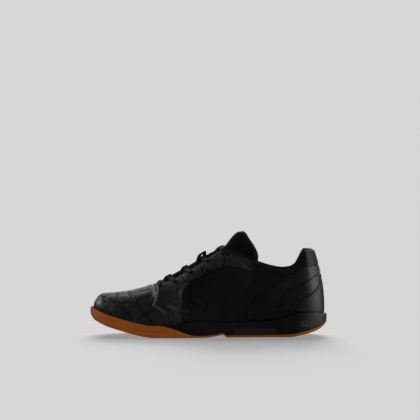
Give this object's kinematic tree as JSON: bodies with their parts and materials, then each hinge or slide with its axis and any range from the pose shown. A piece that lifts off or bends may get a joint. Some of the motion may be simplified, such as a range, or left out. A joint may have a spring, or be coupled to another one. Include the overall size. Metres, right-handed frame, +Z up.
{
  "type": "indoor court shoe",
  "caption": "Low indoor court shoe for the left foot: hollow leather upper, padded tongue and collar, flat laces and a gum cup sole.",
  "frame": {"origin": "middle of the shoe's bounding box, on the floor under the sole", "axes": "+X from toe to heel, +Y to the inner side of the foot, +Z up"},
  "size_m": [0.284, 0.1006, 0.1256],
  "materials": {
    "gum_rubber": "matt",
    "midsole_foam": "matt",
    "vamp_leather": "satin",
    "panel_synthetic": "satin",
    "tongue_textile": "matt",
    "collar_textile": "matt",
    "insole_textile": "matt",
    "lace_textile": "matt"
  },
  "bodies": {
    "root": {"outsole": "gum_rubber", "midsole": "midsole_foam", "insole": "insole_textile", "upper": "vamp_leather", "tongue": "tongue_textile", "eyestay_outer": "panel_synthetic", "eyestay_inner": "panel_synthetic", "rear_quarter": "panel_synthetic", "heel_counter": "panel_synthetic", "heel_band": "panel_synthetic", "heel_tab": "panel_synthetic", "cuff_outer": "collar_textile", "cuff_inner": "collar_textile", "lace_crossings": "lace_textile"}
  },
  "joints": []
}
